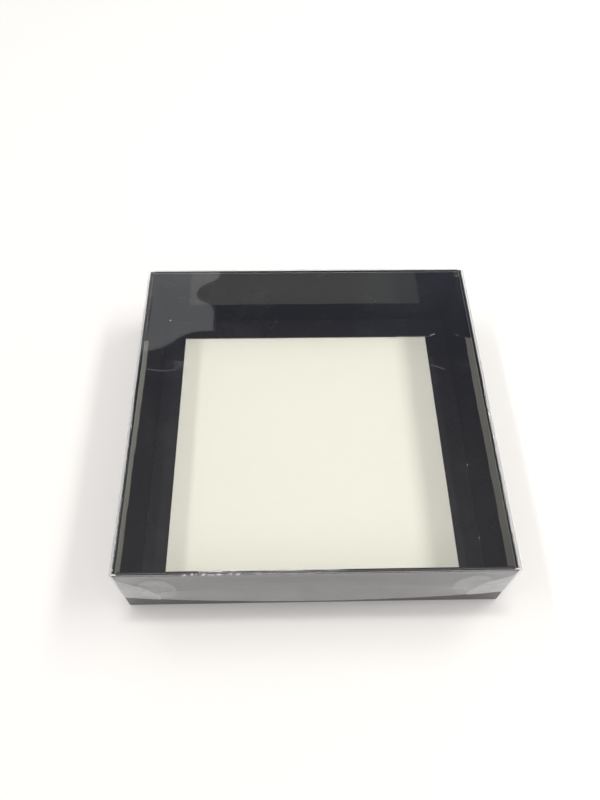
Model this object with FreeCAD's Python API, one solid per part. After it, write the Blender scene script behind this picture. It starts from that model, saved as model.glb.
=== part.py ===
import FreeCAD, Part
import math
import os

# A shallow square display box: a tray folded from one sheet of gloss board, with
# roll-over double walls, and a lift-off lid folded from one sheet of clear film.
# Origin: centre of the tray's underside. +Z is up, the front is towards -Y. Millimetres.

# Tray, overall
tray_width = 150.0
tray_depth = 150.0
tray_height = 36.5

# Tray board and its folds. Each inner wall leans in by its own amount down to its
# foot, and the white window of the floor starts the same distance in on every side.
board = 0.4
crease_radius = 0.1
tuck_play = 0.1
foot_insets = {"front": 2.8, "back": 2.0, "left": 3.65, "right": 2.75}
window_inset = 13.3
panel_gap = 0.4
edge_gap = 0.1

# Corner ears of the tray, tucked into the front and back walls
ear_length = 28.0
ear_taper = 3.0
ear_tip_radius = 4.0

# Lid film, and how loosely the lid fits over the tray
film = 0.2
film_crease_radius = 0.1
side_crown_gap = 0.8
slip_gap = 0.15
skirt_depth = 24.2
skirt_bow = 2.5

# Corner tabs of the lid and the clear glue that holds them
tab_length = 15.7
tab_shoulder = 3.0
tab_shoulder_drop = 6.6
tab_elbow = 11.0
tab_elbow_drop = 13.1
tab_tip_height = 3.6
tab_tip_drop = 1.6
tab_tip_radius = 1.2
glue_film = 0.05
glue_width = 15.0
glue_height = 20.0
glue_from_corner = 15.5
glue_from_top = 15.0

# Sizes that follow from the ones above
half_width = tray_width / 2
half_depth = tray_depth / 2
board_fold = board + crease_radius
rim_width = 3 * board + tuck_play
side_foot = 2 * board
end_foot = 3 * board
film_fold = film + film_crease_radius
lid_top = tray_height + film
skirt_top = lid_top - film_fold
foot_reach = slip_gap + 2 * film + glue_film
side_crown_reach = side_crown_gap + film
end_crown_reach = foot_reach
lid_half_width = half_width + side_crown_reach
lid_half_depth = half_depth + end_crown_reach
side_lean = foot_reach - side_crown_reach
end_lean = foot_reach - end_crown_reach

# How far each wall is turned about Z from the side that faces +X, and which walls
# close its ends: the one towards -Y before the turn, then the one towards +Y
turns = {"right": 0, "back": 90, "left": 180, "front": 270}
long_sides = ("front", "back")
short_sides = ("left", "right")
neighbours = {"front": ("left", "right"), "back": ("right", "left")}
overcut = 5.0


def unit(x, y):
    """Direction of a flat vector."""
    length = math.hypot(x, y)
    return (x / length, y / length)


def stations(corners, inner_radius, thickness):
    """Points and directions along the outer face of a folded sheet, seen end on.

    Even numbers start a straight panel and odd numbers start a fold. The sheet's
    thickness lies to the left of the direction of travel.
    """
    start = unit(corners[1][0] - corners[0][0], corners[1][1] - corners[0][1])
    found = [(corners[0], start)]
    heading = start
    for before, corner, after in zip(corners, corners[1:], corners[2:]):
        inward = unit(corner[0] - before[0], corner[1] - before[1])
        heading = unit(after[0] - corner[0], after[1] - corner[1])
        cross = inward[0] * heading[1] - inward[1] * heading[0]
        dot = inward[0] * heading[0] + inward[1] * heading[1]
        turn = math.atan2(abs(cross), dot)
        radius = inner_radius + thickness if cross > 0 else inner_radius
        reach = radius * math.tan(turn / 2)
        fold_start = (corner[0] - inward[0] * reach, corner[1] - inward[1] * reach)
        fold_end = (corner[0] + heading[0] * reach, corner[1] + heading[1] * reach)
        found.append((fold_start, inward))
        found.append((fold_end, heading))
    found.append((corners[-1], heading))
    return found


def face_edge(one, two, offset, place):
    """Edge between two stations, on the face that lies offset into the sheet."""
    (point_a, way_a), (point_b, way_b) = one, two
    left_a = (-way_a[1], way_a[0])
    left_b = (-way_b[1], way_b[0])
    start = (point_a[0] + left_a[0] * offset, point_a[1] + left_a[1] * offset)
    end = (point_b[0] + left_b[0] * offset, point_b[1] + left_b[1] * offset)
    spread = (left_a[0] - left_b[0], left_a[1] - left_b[1])
    size = spread[0] ** 2 + spread[1] ** 2
    if size < 1e-9:
        return Part.LineSegment(place(*start), place(*end)).toShape()
    chord = (point_b[0] - point_a[0], point_b[1] - point_a[1])
    radius = (chord[0] * spread[0] + chord[1] * spread[1]) / size
    centre = (point_a[0] + left_a[0] * radius, point_a[1] + left_a[1] * radius)
    middle = unit(left_a[0] + left_b[0], left_a[1] + left_b[1])
    inside = radius - offset
    halfway = (centre[0] - middle[0] * inside, centre[1] - middle[1] * inside)
    return Part.Arc(place(*start), place(*halfway), place(*end)).toShape()


def sheet_face(found, first, last, thickness, place):
    """Closed face of the sheet from one station to another."""
    pairs = list(zip(found[first:last], found[first + 1:last + 1]))
    outer = [face_edge(one, two, 0.0, place) for one, two in pairs]
    inner = [face_edge(one, two, thickness, place) for one, two in pairs]
    start_cap = Part.LineSegment(inner[0].Vertexes[0].Point, outer[0].Vertexes[0].Point)
    end_cap = Part.LineSegment(outer[-1].Vertexes[-1].Point, inner[-1].Vertexes[-1].Point)
    edges = [start_cap.toShape()] + outer + [end_cap.toShape()] + inner[::-1]
    return Part.Face(Part.Wire(Part.__sortEdges__(edges)))


def upright(across, up):
    """Place a cross-section point in the XZ plane."""
    return FreeCAD.Vector(across, 0, up)


def flat(x, y):
    """Place a plan point in the XY plane."""
    return FreeCAD.Vector(x, y, 0)


def box_between(low, high):
    """Box from its lowest corner to its highest."""
    size = [b - a for a, b in zip(low, high)]
    return Part.makeBox(*size, FreeCAD.Vector(*low))


def prism(points, way):
    """Solid swept from a flat outline of straight edges."""
    outline = Part.makePolygon([FreeCAD.Vector(*p) for p in points + points[:1]])
    return Part.Face(outline).extrude(FreeCAD.Vector(*way))


def turned(shape, side):
    """The shape, made facing +X, turned to one side of the box."""
    copy = shape.copy()
    copy.rotate(FreeCAD.Vector(0, 0, 0), FreeCAD.Vector(0, 0, 1), turns[side])
    return copy


def mirrored(shape, end, side):
    """The shape, made at the back right corner, mirrored to one of the four corners."""
    copy = shape.copy()
    if side == "left":
        copy = copy.mirror(FreeCAD.Vector(0, 0, 0), FreeCAD.Vector(1, 0, 0))
    if end == "front":
        copy = copy.mirror(FreeCAD.Vector(0, 0, 0), FreeCAD.Vector(0, 1, 0))
    return copy


def reach_of(side):
    """Distance from the middle of the tray to the outer face of a wall."""
    return half_depth if side in long_sides else half_width


def span_of(side):
    """Half the tray's size along a wall."""
    return half_width if side in long_sides else half_depth


def lid_reach_of(side):
    """Distance from the middle of the lid to the outer face of a skirt, at its top."""
    return lid_half_depth if side in long_sides else lid_half_width


def lid_span_of(side):
    """Half the lid's size along a skirt, at its top."""
    return lid_half_width if side in long_sides else lid_half_depth


def lean_of(side):
    """How far a skirt's lower corners stand out past its upper ones."""
    return end_lean if side in long_sides else side_lean


def wall_stations(side):
    """Stations of a roll-over wall: floor, outer wall, rim, inner wall, floor flap."""
    reach = reach_of(side)
    foot = end_foot if side in long_sides else side_foot
    corners = [
        (reach - window_inset, 0.0),
        (reach, 0.0),
        (reach, tray_height),
        (reach - rim_width, tray_height),
        (reach - foot_insets[side], foot),
        (reach - window_inset, foot),
    ]
    return stations(corners, crease_radius, board)


def run_of_wall(side, first, last, half_length):
    """Part of a wall between two stations, centred along the wall."""
    face = sheet_face(wall_stations(side), first, last, board, upright)
    face.translate(FreeCAD.Vector(0, -half_length, 0))
    return face.extrude(FreeCAD.Vector(0, 2 * half_length, 0))


def bay_edge(side, neighbour):
    """Half the clear space along a wall, below its foot and above its rim."""
    top = span_of(side) - rim_width - panel_gap
    foot = span_of(side) - foot_insets[neighbour] - panel_gap
    lift = (top - foot) / (tray_height - side_foot)
    return foot - lift * overcut, top + lift * overcut


def clear_bay(side):
    """Space between the leaning inner walls that close a front or back wall's ends."""
    under_a, over_a = bay_edge(side, neighbours[side][0])
    under_b, over_b = bay_edge(side, neighbours[side][1])
    points = [
        (0, -under_a, side_foot - overcut),
        (0, under_b, side_foot - overcut),
        (0, over_b, tray_height + overcut),
        (0, -over_a, tray_height + overcut),
    ]
    return prism(points, (reach_of(side) + overcut, 0, 0))


def tray_floor():
    """White-faced floor panel, up to where the walls fold up from it."""
    low = (board_fold - half_width, board_fold - half_depth, 0)
    high = (half_width - board_fold, half_depth - board_fold, board)
    return box_between(low, high)


def side_outer_wall(side):
    """Outer wall that ends where its corner ears fold away from it."""
    ends = half_depth - board - board_fold
    upper = run_of_wall(side, 2, 3, ends)
    lower = run_of_wall(side, 1, 2, half_depth - board_fold)
    return turned(upper.fuse(lower).removeSplitter(), side)


def end_outer_wall(side):
    """Front or back outer wall, full width, with the cut edge of its top corners."""
    wall = run_of_wall(side, 1, 3, half_width)
    reach = reach_of(side)
    for sign in (-1, 1):
        inner = half_width - rim_width
        low_y, high_y = sorted((sign * inner, sign * half_width))
        low = (reach - board, low_y, tray_height - board_fold)
        high = (reach, high_y, tray_height - edge_gap)
        wall = wall.fuse(box_between(low, high))
    return turned(wall.removeSplitter(), side)


def side_rim(side):
    """Narrow top of a left or right double wall, with the folds on both its edges."""
    return turned(run_of_wall(side, 3, 6, half_depth - board - edge_gap), side)


def side_inner_wall(side):
    """Leaning inner wall of a left or right side, with the fold at its foot."""
    return turned(run_of_wall(side, 6, 8, half_depth - 2 * board - edge_gap), side)


def side_floor_flap(side):
    """Flap that lies on the floor along a left or right wall."""
    return turned(run_of_wall(side, 8, 9, half_depth - 2 * board - edge_gap), side)


def end_run(side, first, last):
    """Part of a front or back roll-over wall, trimmed to fit between the side walls."""
    run = run_of_wall(side, first, last, half_width)
    return turned(run.common(clear_bay(side)), side)


def corner_ear(end, side):
    """Ear of a side wall: folded round the corner and tucked into the end wall."""
    inner_face = half_depth - board
    corners = [
        (half_width, inner_face - 2 * board_fold),
        (half_width, inner_face),
        (half_width - ear_length, inner_face),
    ]
    found = stations(corners, crease_radius, board)
    low = board_fold
    high = tray_height - board_fold
    plan = sheet_face(found, 1, 3, board, flat)
    plan.translate(FreeCAD.Vector(0, 0, low))
    blank = plan.extrude(FreeCAD.Vector(0, 0, high - low))
    tip = half_width - ear_length
    root = half_width - board_fold
    points = [
        (tip, 0, low + ear_taper),
        (root, 0, low),
        (half_width + overcut, 0, low),
        (half_width + overcut, 0, high),
        (root, 0, high),
        (tip, 0, high - ear_taper),
    ]
    outline = prism(points, (0, half_depth, 0))
    tips = [edge for edge in outline.Edges if is_along_y_at(edge, tip)]
    outline = outline.makeFillet(ear_tip_radius, tips)
    return mirrored(blank.common(outline), end, side)


def is_along_y_at(edge, x):
    """True for an edge that runs along Y at the given x."""
    a, b = [vertex.Point for vertex in edge.Vertexes]
    return abs(a.x - x) < 1e-6 and abs(b.x - x) < 1e-6 and abs(a.z - b.z) < 1e-6


def lid_top_panel():
    """Flat top of the lid, up to where its skirts fold down."""
    x = lid_half_width - film_fold
    y = lid_half_depth - film_fold
    return box_between((-x, -y, tray_height), (x, y, lid_top))


def film_layer(side, inset, thickness, depth, shorter=0.0):
    """Thin band, facing +X, that hangs from the lid's edge and bows outwards below.

    Inset moves it in from the lid's outer face, and shorter is what each end loses.
    """
    share = depth / skirt_depth
    across = side_lean if side in long_sides else end_lean
    top_x = lid_reach_of(side) - inset
    low_x = top_x + share * lean_of(side)
    top_y = lid_span_of(side) - shorter
    low_y = top_y + share * across
    low_z = skirt_top - depth
    top_wire = Part.makePolygon([
        FreeCAD.Vector(top_x, -top_y, skirt_top),
        FreeCAD.Vector(top_x, top_y, skirt_top),
        FreeCAD.Vector(top_x - thickness, top_y, skirt_top),
        FreeCAD.Vector(top_x - thickness, -top_y, skirt_top),
        FreeCAD.Vector(top_x, -top_y, skirt_top),
    ])
    outer = bowed_edge(low_x, low_y, share * skirt_bow, low_z)
    inner = bowed_edge(low_x - thickness, -low_y, share * skirt_bow, low_z)
    end = Part.LineSegment(outer.EndPoint, inner.StartPoint)
    start = Part.LineSegment(inner.EndPoint, outer.StartPoint)
    low_wire = Part.Wire([piece.toShape() for piece in (outer, end, inner, start)])
    return Part.makeLoft([top_wire, low_wire], True, True)


def bowed_edge(x, half_length, bow, z):
    """Arc from -half_length to +half_length along Y that bows towards +X."""
    ends = [FreeCAD.Vector(x, sign * half_length, z) for sign in (-1, 1)]
    return Part.Arc(ends[0], FreeCAD.Vector(x + bow, 0, z), ends[1])


def lid_skirt(side):
    """One skirt of the lid, with the fold that joins it to the top panel."""
    reach = lid_reach_of(side)
    shorter = 0.0 if side in long_sides else film + glue_film + film_fold
    corners = [
        (reach, skirt_top - film_fold),
        (reach, lid_top),
        (reach - 2 * film_fold, lid_top),
    ]
    found = stations(corners, film_crease_radius, film)
    face = sheet_face(found, 1, 2, film, upright)
    half_length = lid_span_of(side) - max(film_fold, shorter)
    face.translate(FreeCAD.Vector(0, -half_length, 0))
    fold = face.extrude(FreeCAD.Vector(0, 2 * half_length, 0))
    hang = film_layer(side, 0.0, film, skirt_depth, shorter)
    return turned(hang.fuse(fold), side)


def lid_corner_tab(end, side):
    """Tapered tab of a side skirt, folded round the corner behind the end skirt."""
    inset = film + glue_film
    corner_x = lid_half_width
    corner_y = lid_half_depth - inset
    corners = [
        (corner_x, corner_y - 2 * film_fold),
        (corner_x, corner_y),
        (corner_x - 2 * film_fold, corner_y),
    ]
    found = stations(corners, film_crease_radius, film)
    bend = sheet_face(found, 1, 2, film, flat)
    bend.translate(FreeCAD.Vector(0, 0, skirt_top))
    fold = bend.extrude(FreeCAD.Vector(side_lean, end_lean, -skirt_depth))
    hang = film_layer("back", inset, film, skirt_depth + tab_tip_drop)
    hang = turned(hang, "back")
    joint_x = corner_x - 0.75 * film_fold
    low = skirt_top - skirt_depth
    points = [
        (joint_x, 0, skirt_top),
        (corner_x - tab_shoulder, 0, skirt_top - tab_shoulder_drop),
        (corner_x - tab_elbow, 0, skirt_top - tab_elbow_drop),
        (corner_x - tab_length, 0, low + tab_tip_height),
        (corner_x - tab_length, 0, low - tab_tip_drop),
        (joint_x + side_lean, 0, low),
    ]
    outline = prism(points, (0, half_depth + overcut, 0))
    tips = [edge for edge in outline.Edges if is_along_y_at(edge, corner_x - tab_length)]
    outline = outline.makeFillet(tab_tip_radius, tips)
    tab = hang.common(outline).fuse(fold)
    return mirrored(tab, end, side)


def lid_glue_spot(end, side):
    """Flattened drop of clear glue between a corner tab and the end skirt."""
    hang = turned(film_layer("back", film, glue_film, skirt_depth), "back")
    centre = FreeCAD.Vector(lid_half_width - glue_from_corner, 0, lid_top - glue_from_top)
    long_end = FreeCAD.Vector(0, 0, glue_height / 2)
    wide_end = FreeCAD.Vector(glue_width / 2, 0, 0)
    oval = Part.Ellipse(centre + long_end, centre + wide_end, centre)
    spot = Part.Face(Part.Wire(oval.toShape()))
    drop = hang.common(spot.extrude(FreeCAD.Vector(0, half_depth + overcut, 0)))
    return mirrored(drop, end, side)


def build():
    """Every named piece of the box."""
    pieces = {"tray_floor": tray_floor(), "lid_top_panel": lid_top_panel()}
    for side in short_sides:
        pieces["tray_" + side + "_outer_wall"] = side_outer_wall(side)
        pieces["tray_" + side + "_rim"] = side_rim(side)
        pieces["tray_" + side + "_inner_wall"] = side_inner_wall(side)
        pieces["tray_" + side + "_floor_flap"] = side_floor_flap(side)
        pieces["lid_" + side + "_skirt"] = lid_skirt(side)
    for side in long_sides:
        pieces["tray_" + side + "_outer_wall"] = end_outer_wall(side)
        pieces["tray_" + side + "_rim"] = end_run(side, 3, 6)
        pieces["tray_" + side + "_inner_wall"] = end_run(side, 6, 8)
        pieces["tray_" + side + "_floor_flap"] = end_run(side, 8, 9)
        pieces["lid_" + side + "_skirt"] = lid_skirt(side)
    for end in long_sides:
        for side in short_sides:
            corner = end + "_" + side
            pieces["tray_" + corner + "_ear"] = corner_ear(end, side)
            pieces["lid_" + corner + "_tab"] = lid_corner_tab(end, side)
            pieces["lid_" + corner + "_glue"] = lid_glue_spot(end, side)
    return pieces


os.makedirs("parts", exist_ok=True)
for name, shape in sorted(build().items()):
    if not shape.isValid() or not shape.Solids:
        raise SystemExit(name + " isn't a sound solid")
    shape.exportStep("parts/" + name + ".step")
    size = shape.BoundBox
    print(name, len(shape.Solids), round(shape.Volume, 2),
          round(size.XLength, 2), round(size.YLength, 2), round(size.ZLength, 2))
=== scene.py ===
# %% [markdown]
# # A square display box: a folded black tray under a clear film lid
# The real box is two sheets. The tray is thin board, black and gloss laminated on one side and
# bare white on the other, folded so that each wall is double and rolls over into the tray. The lid
# is clear film, folded down on four sides and glued at its corners.
# The CAD model already holds every panel at its true size, so this script gives it what a drawing
# lacks: the finishes, the light, the small signs of handling, and the camera of the photograph.

# %% Load the imported model, with a helper that reads a part's box
import math

import bmesh
import bpy
from mathutils import Euler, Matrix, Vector


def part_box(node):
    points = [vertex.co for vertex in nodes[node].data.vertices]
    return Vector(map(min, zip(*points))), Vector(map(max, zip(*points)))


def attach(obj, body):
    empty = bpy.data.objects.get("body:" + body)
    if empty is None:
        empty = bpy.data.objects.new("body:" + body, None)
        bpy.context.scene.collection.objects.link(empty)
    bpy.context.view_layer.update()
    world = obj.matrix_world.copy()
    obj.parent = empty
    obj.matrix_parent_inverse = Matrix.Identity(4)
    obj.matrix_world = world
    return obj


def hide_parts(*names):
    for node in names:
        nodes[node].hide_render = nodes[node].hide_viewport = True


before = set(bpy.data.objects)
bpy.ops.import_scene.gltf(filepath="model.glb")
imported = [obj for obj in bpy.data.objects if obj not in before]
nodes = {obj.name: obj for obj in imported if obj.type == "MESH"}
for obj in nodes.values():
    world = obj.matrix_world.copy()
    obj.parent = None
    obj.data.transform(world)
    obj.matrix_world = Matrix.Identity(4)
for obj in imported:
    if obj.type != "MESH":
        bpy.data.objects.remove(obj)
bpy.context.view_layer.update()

MM = 0.001

# %% [markdown]
# ## Camera
# The picture was taken by hand from the front, steeply from above and close up, so the near side
# looks much wider than the far side. A camera can be moved by eye until the picture looks right,
# but then its place and its lens can both be wrong together. The edges of the rim and the foot of
# the box fix where the camera stood, how it was turned and how wide it saw, so its place, three
# angles and its lens were worked out from them and are given here, rounded.

# %% Stand the camera where the photograph was taken
CAMERA_PLACE = Vector((-10.5, -159.95, 283.97)) * MM
CAMERA_TURN = (32.93, -0.63, -1.13)
SENSOR_HEIGHT = 36.0
LENS = 31.23
NEAREST_SEEN = 10 * MM

camera = bpy.data.objects.new("camera", bpy.data.cameras.new("camera"))
bpy.context.scene.collection.objects.link(camera)
camera.data.sensor_fit = "VERTICAL"
camera.data.sensor_height = SENSOR_HEIGHT
camera.data.lens = LENS
camera.data.clip_start = NEAREST_SEEN
camera.location = CAMERA_PLACE
camera.rotation_euler = Euler([math.radians(angle) for angle in CAMERA_TURN])
bpy.context.scene.camera = camera
print("camera looks down by", round(90 - CAMERA_TURN[0], 1), "degrees")

# %% [markdown]
# ## Table and light
# The box stands on a white table in a bright room. One soft light from all around would show no
# shadows, so each shadow in the photograph gets the lamp that throws it. Two long lamps, left and
# right, throw the two soft bands on the white floor of the tray. A smaller one behind throws the
# shadow along the front of the box, and a wide one in front lights the front wall through the film.
# These four stand where the lid doesn't mirror them towards the camera. A weak panel does stand in
# the part of the ceiling that it mirrors: that is the pale patch on the lid's far left corner.

# %% Lay the table
TABLE_SIZE = 8.0

shape = bmesh.new()
bmesh.ops.create_grid(shape, x_segments=1, y_segments=1, size=TABLE_SIZE / 2)
table_mesh = bpy.data.meshes.new("table")
shape.to_mesh(table_mesh)
shape.free()
table = bpy.data.objects.new("table", table_mesh)
bpy.context.scene.collection.objects.link(table)
print("table:", TABLE_SIZE, "m square")

# %% Hang the lamps
LAMPS = {
    # name: (place, width, length, watts, colour), in metres
    "lamp_behind": ((-0.05, 0.17, 1.45), 0.34, 0.12, 5.2, (1.0, 1.0, 0.975)),
    "lamp_left": ((-0.875, 0.30, 1.45), 0.12, 1.4, 8.4, (1.0, 1.0, 0.97)),
    "lamp_right": ((0.745, 0.22, 1.00), 0.24, 1.0, 9.0, (1.0, 1.0, 0.965)),
    "lamp_front": ((0.0, -1.0, 1.6), 2.6, 1.3, 10.5, (1.0, 0.95, 0.975)),
    "ceiling_panel": ((-0.50, 1.51, 1.50), 0.54, 0.76, 1.25, (1.0, 1.0, 0.97)),
}
for name, (place, width, length, watts, colour) in LAMPS.items():
    lamp = bpy.data.objects.new(name, bpy.data.lights.new(name, "AREA"))
    bpy.context.scene.collection.objects.link(lamp)
    lamp.data.shape = "RECTANGLE"
    lamp.data.size, lamp.data.size_y = width, length
    lamp.data.energy = watts
    lamp.data.color = colour
    lamp.location = place
    print(name, "gives", watts, "W")

# %% [markdown]
# ## Small helpers for materials
# A material is a net of nodes. These few functions add a node, give its inputs numbers or other
# nodes' outputs, and hand back the output that is wanted next, so that each finish below reads as
# a short recipe.


# %% Helpers that add nodes
def put(tree, kind, terms=(), out=0, **settings):
    """Adds a node. terms holds its inputs by name or number, out picks the output handed back."""
    made = tree.nodes.new("ShaderNode" + kind)
    for name, value in settings.items():
        setattr(made, name, value)
    for socket, term in dict(terms).items():
        if isinstance(term, bpy.types.NodeSocket):
            tree.links.new(term, made.inputs[socket])
        else:
            made.inputs[socket].default_value = term
    return made.outputs[out]


def maths(tree, operation, *terms, clamp=False):
    return put(tree, "Math", dict(enumerate(terms)), operation=operation, use_clamp=clamp)


def fade(tree, value, start, end):
    """0 up to start and 1 from end, with a soft step between. start may be the larger."""
    terms = {"Value": value, "From Min": start, "From Max": end}
    return put(tree, "MapRange", terms, interpolation_type="SMOOTHSTEP")


def mix_colours(tree, amount, first, second):
    return put(tree, "Mix", {0: amount, 6: first, 7: second}, out=2, data_type="RGBA")


def mix_values(tree, amount, first, second):
    return put(tree, "Mix", {0: amount, 2: first, 3: second})


def clouds(tree, place, per_metre, detail, roughness):
    """A soft random pattern, with so many patches to the metre."""
    terms = {"Vector": place, "Scale": per_metre, "Detail": detail, "Roughness": roughness}
    return put(tree, "TexNoise", terms)


# %% Helpers that read where a point is and which way it faces
def object_place(tree):
    return put(tree, "TexCoord", out="Object")


def object_normal(tree):
    return put(tree, "TexCoord", out="Normal")


def facing(tree, vector, way):
    """How far a vector goes one way. For a normal: 1 is fully, 0 is edge on, below 0 is away."""
    return put(tree, "VectorMath", {0: vector, 1: way}, out="Value", operation="DOT_PRODUCT")


def longest_side(tree, vector):
    """The largest of a vector's three numbers, signs left out."""
    size = put(tree, "VectorMath", {0: vector}, operation="ABSOLUTE")
    sides = tree.nodes.new("ShaderNodeSeparateXYZ")
    tree.links.new(size, sides.inputs[0])
    longer = maths(tree, "MAXIMUM", sides.outputs["X"], sides.outputs["Y"])
    return maths(tree, "MAXIMUM", longer, sides.outputs["Z"])


# %% Helpers that start a group, place it, and start a material
def new_group(name, inputs, outputs):
    """Starts a node group with named sockets. Each is (name, kind, start value)."""
    tree = bpy.data.node_groups.new(name, "ShaderNodeTree")
    for side, sockets in (("INPUT", inputs), ("OUTPUT", outputs)):
        for label, kind, start in sockets:
            socket = tree.interface.new_socket(
                label, in_out=side, socket_type="NodeSocket" + kind,
            )
            socket.default_value = start
    takes = tree.nodes.new("NodeGroupInput").outputs
    gives = tree.nodes.new("NodeGroupOutput").inputs
    print("effect:", name)
    return tree, takes, gives


def use_group(tree, group, **values):
    """Places a group in a material and hands back all its outputs. Names use _ for spaces."""
    made = tree.nodes.new("ShaderNodeGroup")
    made.node_tree = group
    for name, value in values.items():
        socket = made.inputs[name.replace("_", " ")]
        if isinstance(value, bpy.types.NodeSocket):
            tree.links.new(value, socket)
        else:
            socket.default_value = value
    return made.outputs


def new_material(name):
    """An empty material with one Principled shader already joined to its output."""
    made = bpy.data.materials.new(name)
    made.use_nodes = True
    tree = made.node_tree
    tree.nodes.clear()
    shader = tree.nodes.new("ShaderNodeBsdfPrincipled")
    output = tree.nodes.new("ShaderNodeOutputMaterial")
    tree.links.new(shader.outputs[0], output.inputs["Surface"])
    return made, tree, shader, output


# %% [markdown]
# ## Effects that several finishes share
# Five node groups are built once: which side of the sheet a surface is, where a sheet is folded,
# the fine crinkles that handling leaves in one small region, a single scratch, and the specks of
# dust that lie on everything. The same nodes could be added to every material again, but a group
# is mended in one place. A group hands out only masks, and each material decides what they do.
# The named pairs of numbers say where a mask starts to show and where it is full.

# %% Group: the sheet's good side, which looks one way on the panel and another beyond its fold
GOOD_SIDE_FACING = (0.25, 0.35)

side_group, takes, gives = new_group(
    "good_side",
    [("Sheet way", "Vector", (0, 0, 1)), ("Fold way", "Vector", (0, 0, 1))],
    [("Good side", "Float", 0.0)],
)
normal = object_normal(side_group)
faces_out = maths(
    side_group, "MAXIMUM",
    facing(side_group, normal, takes["Sheet way"]),
    facing(side_group, normal, takes["Fold way"]),
)
side_group.links.new(fade(side_group, faces_out, *GOOD_SIDE_FACING), gives["Good side"])

# %% Group: folds, where the normal points along none of the box's three directions
FOLD_SQUARENESS = (0.985, 0.93)

fold_group, takes, gives = new_group("fold", [], [("Fold", "Float", 0.0)])
squareness = longest_side(fold_group, object_normal(fold_group))
fold_group.links.new(fade(fold_group, squareness, *FOLD_SQUARENESS), gives["Fold"])

# %% Group: crinkles in one region
REGION_EDGE = (1.0, 0.8)
CRINKLE_LEVEL = (0.48, 0.58)

crinkle_group, takes, gives = new_group(
    "crinkle",
    [("Middle", "Vector", (0, 0, 0)), ("Half size", "Vector", (1, 1, 1)),
     ("Marks per metre", "Float", 500.0)],
    [("Crinkle", "Float", 0.0)],
)
place = object_place(crinkle_group)
away = put(crinkle_group, "VectorMath", {0: place, 1: takes["Middle"]}, operation="SUBTRACT")
away = put(crinkle_group, "VectorMath", {0: away, 1: takes["Half size"]}, operation="DIVIDE")
region = fade(crinkle_group, longest_side(crinkle_group, away), *REGION_EDGE)
marks = clouds(crinkle_group, place, takes["Marks per metre"], detail=2, roughness=0.6)
marks = fade(crinkle_group, marks, *CRINKLE_LEVEL)
crinkle_group.links.new(maths(crinkle_group, "MULTIPLY", region, marks), gives["Crinkle"])


def crinkle_mask(tree, middle, half_size, per_metre):
    """One crinkled region in a material. Its middle and half its size are in mm."""
    return use_group(
        tree, crinkle_group, Middle=Vector(middle) * MM, Half_size=Vector(half_size) * MM,
        Marks_per_metre=per_metre,
    )["Crinkle"]


# %% Group: one scratch, measured as it is seen from above
FROM_ABOVE = (1, 1, 0)
SCRATCH_EDGE = (1.0, 0.4)

scratch_group, takes, gives = new_group(
    "scratch",
    [("Start", "Vector", (0, 0, 0)), ("Run", "Vector", (1, 0, 0)), ("Width", "Float", 0.0003)],
    [("Scratch", "Float", 0.0)],
)
place = object_place(scratch_group)
away = put(scratch_group, "VectorMath", {0: place, 1: takes["Start"]}, operation="SUBTRACT")
away = put(scratch_group, "VectorMath", {0: away, 1: FROM_ABOVE}, operation="MULTIPLY")
along = facing(scratch_group, away, takes["Run"])
whole = facing(scratch_group, takes["Run"], takes["Run"])
share = maths(scratch_group, "DIVIDE", along, whole, clamp=True)
nearest = scratch_group.nodes.new("ShaderNodeVectorMath")
nearest.operation = "SCALE"
scratch_group.links.new(takes["Run"], nearest.inputs[0])
scratch_group.links.new(share, nearest.inputs["Scale"])
aside = put(
    scratch_group, "VectorMath", {0: away, 1: nearest.outputs[0]}, out="Value",
    operation="DISTANCE",
)
widths_aside = maths(scratch_group, "DIVIDE", aside, takes["Width"])
scratch_group.links.new(fade(scratch_group, widths_aside, *SCRATCH_EDGE), gives["Scratch"])


def scratch_mask(tree, start, run, width):
    """One scratch in a material. start and run are x and y in mm, and so is the width."""
    return use_group(
        tree, scratch_group,
        Start=Vector((*start, 0.0)) * MM, Run=Vector((*run, 0.0)) * MM, Width=width * MM,
    )["Scratch"]


# %% Group: dust
dust_group, takes, gives = new_group(
    "dust",
    [("Specks per metre", "Float", 300.0), ("Share", "Float", 0.1), ("Size", "Float", 0.12)],
    [("Dust", "Float", 0.0)],
)
cells = dust_group.nodes.new("ShaderNodeTexVoronoi")
dust_group.links.new(object_place(dust_group), cells.inputs["Vector"])
dust_group.links.new(takes["Specks per metre"], cells.inputs["Scale"])
lot = put(dust_group, "SeparateColor", {0: cells.outputs["Color"]})
chosen = maths(dust_group, "LESS_THAN", lot, takes["Share"])
near = maths(dust_group, "LESS_THAN", cells.outputs["Distance"], takes["Size"])
dust_group.links.new(maths(dust_group, "MULTIPLY", chosen, near), gives["Dust"])

# %% [markdown]
# ## Board
# The board is one material seen from two sides. Its good side is printed black and has a gloss
# film on it, so it mirrors the white floor and the table, a little blurred and wavy. Its other
# side is bare white pulp, and so are the cut edges of the floor, the rims and the outer walls. The
# cut edges of the inner walls, the flaps and the ears are white pulp too, but they lie in shade in
# gaps, mitres and under the flaps and don't show white in the photograph, so those panels are
# black on every side: painted shade over their white core.
# Two materials on one panel would need its faces sorted by hand. One recipe that reads which way
# a face looks needs no sorting, so every panel gets it, with the two directions in which its good
# side looks: that of the panel, and that of its fold.

# %% The colours and patterns of the board
PULP_WHITE = (0.885, 0.878, 0.75, 1)
PULP_SHADE = (0.825, 0.815, 0.685, 1)
BLACK_PRINT = (0.010, 0.010, 0.0115, 1)
BLACK_WORN = (0.020, 0.020, 0.022, 1)
# The next colour is a painted reflection: a lighter black that stands in for the white table
# mirrored by the outer walls.
BLACK_PAINTED_SHEEN = (0.058, 0.052, 0.054, 1)
DUST_GREY = (0.35, 0.34, 0.32, 1)
BOARD_DUST = {"Specks_per_metre": 260.0, "Share": 0.008, "Size": 0.045}

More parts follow.
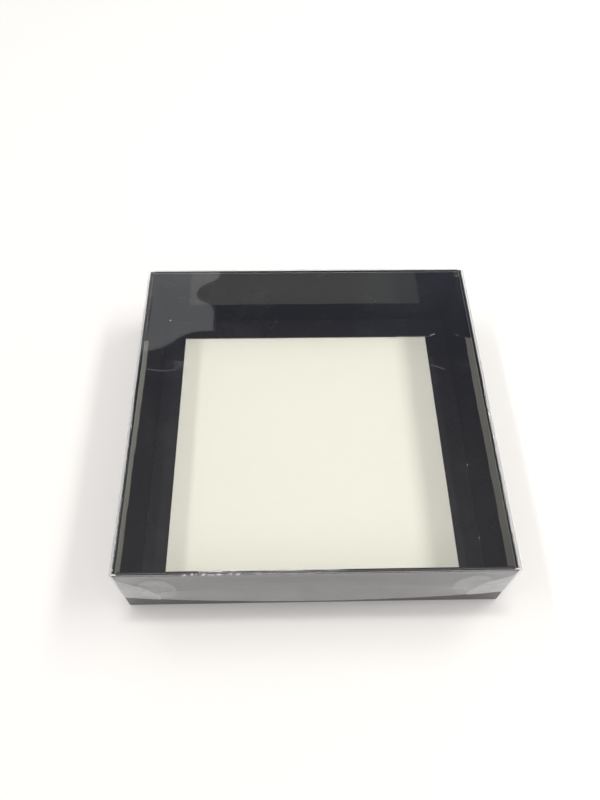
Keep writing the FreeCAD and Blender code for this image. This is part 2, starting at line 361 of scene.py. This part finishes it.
# Patches to the metre, detail and roughness of each cloud pattern
PULP_GRAIN = (420, 6, 0.7)
PULP_FIBRES = (2500, 4, 0.7)
SMUDGES = (38, 4, 0.6)
ORANGE_PEEL = (75, 1, 0.4)
SAG = (16, 1, 0.4)
SMUDGE_LEVEL = (0.45, 0.75)
print("smudges are about", round(1 / SMUDGES[0] / MM), "mm across")

# %% The relief of the board: fibres on its bare side, peel and a slow sag on its good side
RELIEF = 0.05
FIBRE_SHARE = 0.12
SAG_TIMES_PEEL = 7.0


def board_relief(tree, place, good):
    """The normal of the board. Its bumps are in the light only, and too low to change its shape."""
    fibres = maths(tree, "MULTIPLY", clouds(tree, place, *PULP_FIBRES), FIBRE_SHARE)
    sag = maths(tree, "MULTIPLY", clouds(tree, place, *SAG), SAG_TIMES_PEEL)
    waves = maths(tree, "ADD", clouds(tree, place, *ORANGE_PEEL), sag)
    height = mix_values(tree, good, fibres, waves)
    return put(tree, "Bump", {"Height": height, "Strength": 1.0, "Distance": RELIEF * MM})


# %% Where the board is printed
def board_good_side(tree, sheet_way, fold_way, black_as_painted_shade, frays):
    """Where the print is. frays are spots where it is off, and their last number says how far."""
    good = use_group(tree, side_group, Sheet_way=sheet_way, Fold_way=fold_way)["Good side"]
    # Painted shade: the whole panel is printed black, its white cut edges and bare side too.
    if black_as_painted_shade:
        good = maths(tree, "ADD", good, 1.0, clamp=True)
    for start, run, width, bareness in frays:
        bare = maths(tree, "MULTIPLY", scratch_mask(tree, start, run, width), bareness)
        good = maths(tree, "SUBTRACT", good, bare, clamp=True)
    return good


# %% The finish of the board
PULP_ROUGHNESS = 0.9
GLOSS_CLEAN, GLOSS_SMUDGED, GLOSS_FOLDED = 0.03, 0.07, 0.10
BOARD_IOR = 1.5


def board_finish(name, sheet_way, fold_way, black_as_painted_shade=False, painted_sheen=0.0, shine=0.4, frays=()):
    """Board whose good side looks the two given ways. shine is its specular level."""
    made, tree, shader, _ = new_material(name)
    place = object_place(tree)
    good = board_good_side(tree, sheet_way, fold_way, black_as_painted_shade, frays)
    smudge = fade(tree, clouds(tree, place, *SMUDGES), *SMUDGE_LEVEL)

    pulp = mix_colours(tree, clouds(tree, place, *PULP_GRAIN), PULP_SHADE, PULP_WHITE)
    ink = mix_colours(tree, smudge, BLACK_PRINT, BLACK_WORN)
    # Painted reflection: the black is lightened towards the colour below, in place of the table
    # that the outer walls mirror.
    ink = mix_colours(tree, painted_sheen, ink, BLACK_PAINTED_SHEEN)
    dust = use_group(tree, dust_group, **BOARD_DUST)["Dust"]
    ink = mix_colours(tree, dust, ink, DUST_GREY)
    tree.links.new(mix_colours(tree, good, pulp, ink), shader.inputs["Base Color"])

    gloss = mix_values(tree, smudge, GLOSS_CLEAN, GLOSS_SMUDGED)
    gloss = mix_values(tree, use_group(tree, fold_group)["Fold"], gloss, GLOSS_FOLDED)
    tree.links.new(mix_values(tree, good, PULP_ROUGHNESS, gloss), shader.inputs["Roughness"])
    shader.inputs["IOR"].default_value = BOARD_IOR
    shader.inputs["Specular IOR Level"].default_value = shine
    tree.links.new(board_relief(tree, place, good), shader.inputs["Normal"])
    return made


# %% The ways in which panels look, and how a panel gets its finish
SIDES = {"front": (0, -1, 0), "back": (0, 1, 0), "left": (-1, 0, 0), "right": (1, 0, 0)}
CORNERS = [(end, side) for end in ("front", "back") for side in ("left", "right")]
UP, DOWN, SIDEWAYS = (0, 0, 1), (0, 0, -1), (1, 0, 0)


def opposite(way):
    return tuple(-c for c in way)


def finish_panel(name, material):
    """Puts one finish on a CAD panel."""
    mesh = nodes[name].data
    mesh.materials.clear()
    mesh.materials.append(material)


print("panels in the CAD model:", len(nodes))

# %% Give every tray panel its board
INSIDE_SHINE = {"front": 0.4, "back": 0.4, "left": 0.29, "right": 0.26}
RIM_SHINE = {"front": 0.4, "back": 0.12, "left": 0.25, "right": 0.25}
FRAYS = [
    # start, run and width in mm, and how bare
    ((64.7, 62.2), (2.0, 0.8), 0.4, 0.6),  # the torn end of the back flap
    ((47.0, 61.7), (18.0, 0.0), 0.12, 0.25),  # its rubbed edge
]

# The flaps, inner walls and ears are black all over: painted shade where their white cut edges lie
# in gaps and under the flaps.
board_flap = board_finish("board_flap", UP, UP, black_as_painted_shade=True)
frayed_flap = board_finish("board_flap_frayed", UP, UP, black_as_painted_shade=True, frays=FRAYS)
finish_panel("tray_floor", board_finish("board_floor", DOWN, DOWN))
for side, way in SIDES.items():
    # The outer walls get the lighter black in full, a painted reflection of the table.
    outside = board_finish(f"board_{side}_outside", way, DOWN, painted_sheen=1.0)
    rim = board_finish(f"board_{side}_rim", UP, UP, shine=RIM_SHINE[side])
    inside = board_finish(
        f"board_{side}_inside", opposite(way), UP, black_as_painted_shade=True, shine=INSIDE_SHINE[side],
    )
    finish_panel(f"tray_{side}_outer_wall", outside)
    finish_panel(f"tray_{side}_rim", rim)
    finish_panel(f"tray_{side}_inner_wall", inside)
    finish_panel(f"tray_{side}_floor_flap", frayed_flap if side == "back" else board_flap)
for end, side in CORNERS:
    ear = board_finish(f"board_{end}_{side}_ear", SIDES[end], SIDES[side], black_as_painted_shade=True)
    finish_panel(f"tray_{end}_{side}_ear", ear)
print("board finishes:", len([m for m in bpy.data.materials if m.name.startswith("board")]))

# %% [markdown]
# ## Clear film
# A clear sheet shows what is behind it and mirrors what is in front of it, more so at a flat
# angle. A true glass shader would throw a dark shadow from a sheet this thin. So the film is a
# mirror mixed with a transparent shader that has the faintest grey in it, and Fresnel's law says
# how much of it is mirror. Both faces of a real sheet mirror. Light isn't bent here on its way to
# the second face, so only the face towards the eye is used, with the strength of the pair.
# Dust, crinkles, scratches and glue add to the mirror's share, and all but the glue dull it too.

# %% The colours and patterns of the film
FILM_MIRROR = (0.97, 0.98, 1.0, 1)
FILM_WHITENED = (1.0, 0.96, 0.87, 1)
FILM_CUT = (0.50, 0.51, 0.52, 1)
FILM_TINT = (0.99, 0.99, 0.99, 1)
FILM_DUST = {"Specks_per_metre": 190.0, "Share": 0.003, "Size": 0.045}

# Patches to the metre, detail and roughness of each cloud pattern
MILKY_PATCHES = (55, 5, 0.6)
FILM_WAVES = (24, 1, 0.4)
print("film lets through", FILM_TINT[0], "of the light that it doesn't mirror")

# %% How much of the film is mirror, and how much is milky
FILM_IOR = 1.42
PATCH_LEVEL = (0.35, 0.8)
LEAST_MILKY = 0.5
FOOT_HAZE_FROM, FOOT_HAZE_TO = 34 * MM, 13 * MM


def film_mirror(tree, kept):
    """What both faces mirror together, 2F / (1 + F) of the light, times the share that is kept."""
    once = put(tree, "Fresnel", {"IOR": FILM_IOR})
    twice = maths(tree, "MULTIPLY", once, 2.0)
    both = maths(tree, "DIVIDE", twice, maths(tree, "ADD", once, 1.0))
    return maths(tree, "MULTIPLY", both, kept)


def film_haze(tree, place, haze, foot):
    """Milky film, in soft patches. foot is how much milkier it gets towards a skirt's foot."""
    patches = fade(tree, clouds(tree, place, *MILKY_PATCHES), *PATCH_LEVEL)
    patches = mix_values(tree, patches, LEAST_MILKY, 1.0)
    height = put(tree, "SeparateXYZ", {0: place}, out="Z")
    low = fade(tree, height, FOOT_HAZE_FROM, FOOT_HAZE_TO)
    milky = maths(tree, "ADD", maths(tree, "MULTIPLY", low, foot), haze)
    return maths(tree, "MULTIPLY", patches, milky)


# %% The marks of handling
CRINKLES = {
    # middle and half size in mm, marks to the metre, how white the film is there, depth in mm
    "front crease": ((-38.0, -75.2, 36.5), (12.0, 0.4, 0.35), 800.0, 0.80, 0.10),
    "front crease, weaker": ((-16.0, -75.2, 36.5), (10.0, 0.4, 0.35), 800.0, 0.35, 0.10),
    "left edge": ((-74.2, 45.0, 36.6), (1.9, 13.0, 0.8), 750.0, 0.02, 0.35),
    "far right corner": ((73.2, 71.8, 36.6), (1.9, 1.9, 0.8), 900.0, 0.20, 0.10),
}
SCRATCHES = {
    # start and run in mm, and how strongly it shows
    "left, outer half": ((-70.8, 17.0), (6.4, -1.1), 0.022),
    "left, inner half": ((-64.4, 15.9), (6.0, 0.7), 0.022),
    "right": ((53.3, 17.7), (5.5, -2.2), 0.02),
    "speck by the left corner": ((-63.2, 44.2), (0.2, 0.0), 0.80),
    "speck on the right": ((61.8, -31.8), (0.2, 0.0), 0.20),
    "speck at the near right": ((61.6, -62.7), (0.3, 0.0), 0.12),
}
SCRATCH_WIDTH = 0.32
print("marks on the film:", len(CRINKLES) + len(SCRATCHES))

# %% The finish of the film
CUT_FACING = (0.5, 0.7)
DUST_SHARE, CUT_SHARE = 0.6, 0.55
FILM_GLOSS, CRINKLE_ROUGHNESS, MATT = 0.03, 0.35, 0.7
BUMP_UNIT = 1.0


def film_finish(name, cut_way, haze, mirror=1.0, waves=0.3, foot=0.0, crinkles=(), scratches=()):
    """Clear film whose grey cut edges look cut_way. waves, in mm, is how uneven it is."""
    made, tree, shader, output = new_material(name)
    place = object_place(tree)
    cut = fade(tree, facing(tree, object_normal(tree), cut_way), *CUT_FACING)
    dust = use_group(tree, dust_group, **FILM_DUST)["Dust"]
    share = maths(tree, "ADD", film_mirror(tree, mirror), film_haze(tree, place, haze, foot))
    share = maths(tree, "MAXIMUM", share, maths(tree, "MULTIPLY", dust, DUST_SHARE))
    share = maths(tree, "MAXIMUM", share, maths(tree, "MULTIPLY", cut, CUT_SHARE))
    colour = mix_colours(tree, cut, FILM_MIRROR, FILM_CUT)
    rough = mix_values(tree, maths(tree, "MAXIMUM", dust, cut), FILM_GLOSS, MATT)
    height = maths(tree, "MULTIPLY", clouds(tree, place, *FILM_WAVES), waves)

    for mark in crinkles:
        middle, half_size, per_metre, white, depth = CRINKLES[mark]
        crinkle = crinkle_mask(tree, middle, half_size, per_metre)
        share = maths(tree, "MAXIMUM", share, maths(tree, "MULTIPLY", crinkle, white))
        height = maths(tree, "ADD", height, maths(tree, "MULTIPLY", crinkle, depth))
        rough = mix_values(tree, crinkle, rough, CRINKLE_ROUGHNESS)
        colour = mix_colours(tree, crinkle, colour, FILM_WHITENED)
    for mark in scratches:
        start, run, white = SCRATCHES[mark]
        scratch = scratch_mask(tree, start, run, SCRATCH_WIDTH)
        share = maths(tree, "MAXIMUM", share, maths(tree, "MULTIPLY", scratch, white))
        rough = mix_values(tree, scratch, rough, MATT)

    towards_eye = maths(tree, "SUBTRACT", 1.0, put(tree, "NewGeometry", out="Backfacing"))
    share = maths(tree, "MULTIPLY", share, towards_eye, clamp=True)
    shader.inputs["Metallic"].default_value = 1.0
    tree.links.new(colour, shader.inputs["Base Color"])
    tree.links.new(rough, shader.inputs["Roughness"])
    bump = put(tree, "Bump", {"Height": height, "Strength": 1.0, "Distance": BUMP_UNIT * MM})
    tree.links.new(bump, shader.inputs["Normal"])
    clear = put(tree, "BsdfTransparent", {"Color": FILM_TINT})
    mixed = put(tree, "MixShader", {0: share, 1: clear, 2: shader.outputs[0]})
    tree.links.new(mixed, output.inputs["Surface"])
    return made


# %% Give every lid panel its film
TOP_HAZE, SKIRT_HAZE, GLUE_HAZE = 0.0025, 0.004, 0.13
FRONT_MARKS = ["front crease", "front crease, weaker"]

film_top = film_finish(
    "film_top", SIDEWAYS, TOP_HAZE, waves=0.02, crinkles=CRINKLES, scratches=SCRATCHES,
)
film_skirt = film_finish(
    "film_skirt", DOWN, SKIRT_HAZE, mirror=0.76, foot=0.10, crinkles=FRONT_MARKS,
)
film_glue = film_finish("film_glue", SIDEWAYS, GLUE_HAZE, mirror=0.1)
for side in SIDES:
    finish_panel(f"lid_{side}_skirt", film_skirt)
for end, side in CORNERS:
    finish_panel(f"lid_{end}_{side}_tab", film_skirt)
    finish_panel(f"lid_{end}_{side}_glue", film_glue)
print("film finishes:", len([m for m in bpy.data.materials if m.name.startswith("film")]))

# %% [markdown]
# ## The lid's top
# A sheet of film this wide is never quite flat. It is pulled by the glued corners and swells a
# little in between, which can't be seen in its outline but shows in what it mirrors. A bump in the
# material would bend what it mirrors too, but the sheet itself would stay flat. So a fine grid
# takes the CAD panel's place: its points are lifted by a few low swellings, and it gets the
# sheet's thickness. Near the rims it stays flat, because it rests on them there. The places and
# heights of the swellings were chosen until the pale patch had its outline.

# %% The swellings of the film
SWELLINGS = [
    # x, y, radius and height, in mm
    (-60.0, 61.0, 8.0, 0.33),
    (-44.0, 22.0, 12.0, -0.34),
    (-50.0, 40.0, 7.0, 0.06),
    (10.0, 20.0, 38.0, 0.30),
    (48.0, -30.0, 26.0, 0.15),
    (-30.0, -40.0, 24.0, -0.12),
]
FLAT_EDGE = 1.5
EDGE_RUN = 5.0

top_low, top_high = (Vector(corner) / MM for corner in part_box("lid_top_panel"))
film_thickness = top_high.z - top_low.z


def soft_step(share):
    share = min(max(share, 0.0), 1.0)
    return share * share * (3.0 - 2.0 * share)


def swelling_at(x, y):
    """How high the film stands above flat at a place on it, in mm."""
    from_edge = min(top_high.x - abs(x), top_high.y - abs(y))
    total = 0.0
    for centre_x, centre_y, radius, height in SWELLINGS:
        away = ((x - centre_x) ** 2 + (y - centre_y) ** 2) / radius**2
        total += height * math.exp(-away / 2)
    return total * soft_step((from_edge - FLAT_EDGE) / EDGE_RUN)


print("film is", round(film_thickness, 2), "mm thick")

# %% Lay the film of the lid's top
TOP_CELLS = 110
FLAT_ENOUGH = 0.5

shape = bmesh.new()
bmesh.ops.create_grid(shape, x_segments=TOP_CELLS, y_segments=TOP_CELLS, size=1.0)
for point in shape.verts:
    x, y = point.co.x * top_high.x, point.co.y * top_high.y
    point.co = Vector((x, y, top_high.z + swelling_at(x, y))) * MM
bmesh.ops.solidify(shape, geom=shape.faces[:], thickness=film_thickness * MM)
bmesh.ops.recalc_face_normals(shape, faces=shape.faces[:])
lid_film_mesh = bpy.data.meshes.new("lid_top_film")
shape.to_mesh(lid_film_mesh)
shape.free()
for face in lid_film_mesh.polygons:
    face.use_smooth = abs(face.normal.z) > FLAT_ENOUGH
lid_film_mesh.materials.append(film_top)
heights = [point.co.z / MM for point in lid_film_mesh.vertices]
print("film top lies between", round(min(heights), 2), "and", round(max(heights), 2), "mm")

# %% Put it on the lid in place of the CAD panel
lid_film = bpy.data.objects.new("lid_top_film", lid_film_mesh)
bpy.context.scene.collection.objects.link(lid_film)
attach(lid_film, "lid")
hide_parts("lid_top_panel")
print(lid_film.name, "rides on the lid")

# %% [markdown]
# ## The table's finish and the room
# The table is matt and white. A room could be built around it, but the photograph shows of it only
# what the lid and the board mirror, so it is painted on the world behind everything. It is white
# near the horizon and dim overhead, because the photograph shows the lid dark there, a little
# bluer in the far right corner.

# %% Finish the table
TABLE_WHITE = (0.84, 0.825, 0.785, 1)
TABLE_ROUGHNESS = 0.9
TABLE_SHINE = 0.1

table_white, _, shader, _ = new_material("table_white")
shader.inputs["Base Color"].default_value = TABLE_WHITE
shader.inputs["Roughness"].default_value = TABLE_ROUGHNESS
shader.inputs["Specular IOR Level"].default_value = TABLE_SHINE
table.data.materials.append(table_white)
print("table's white:", TABLE_WHITE[:3])

# %% Light the room
CEILING_DIM = (0.18, 0.19, 0.25, 1)
FAR_RIGHT_BLUE = (0.34, 0.37, 0.46, 1)
OVERHEAD = (0.48, 0.465, 0.47, 1)
HORIZON_WHITE = (0.88, 0.855, 0.89, 1)

# Where one colour fades into the next, as parts of a direction that is 1 long
BLUE_TO_THE_RIGHT = (0.05, 0.24)
BLUE_TO_THE_BACK = (0.56, 0.68)
ABOVE_THE_HORIZON = (0.15, 0.5)
STRAIGHT_UP = (0.70, 0.98)

world = bpy.data.worlds.new("room")
bpy.context.scene.world = world
world.use_nodes = True
tree = world.node_tree
tree.nodes.clear()
outwards = put(tree, "TexCoord", out="Generated")
rightness, farness, height = (
    put(tree, "SeparateXYZ", {0: outwards}, out=axis) for axis in "XYZ"
)
far_right = maths(
    tree, "MULTIPLY",
    fade(tree, rightness, *BLUE_TO_THE_RIGHT),
    fade(tree, farness, *BLUE_TO_THE_BACK),
)
room = mix_colours(tree, far_right, CEILING_DIM, FAR_RIGHT_BLUE)
room = mix_colours(tree, fade(tree, height, *ABOVE_THE_HORIZON), HORIZON_WHITE, room)
room = mix_colours(tree, fade(tree, height, *STRAIGHT_UP), room, OVERHEAD)
light = put(tree, "Background", {"Color": room, "Strength": 1.0})
tree.links.new(light, tree.nodes.new("ShaderNodeOutputWorld").inputs["Surface"])
print("the ceiling's colour:", CEILING_DIM[:3])

# %% [markdown]
# ## Finish
# The view transform is Standard, so a colour comes out as it was written.

# %% Set the view transform
bpy.context.scene.view_settings.view_transform = "Standard"
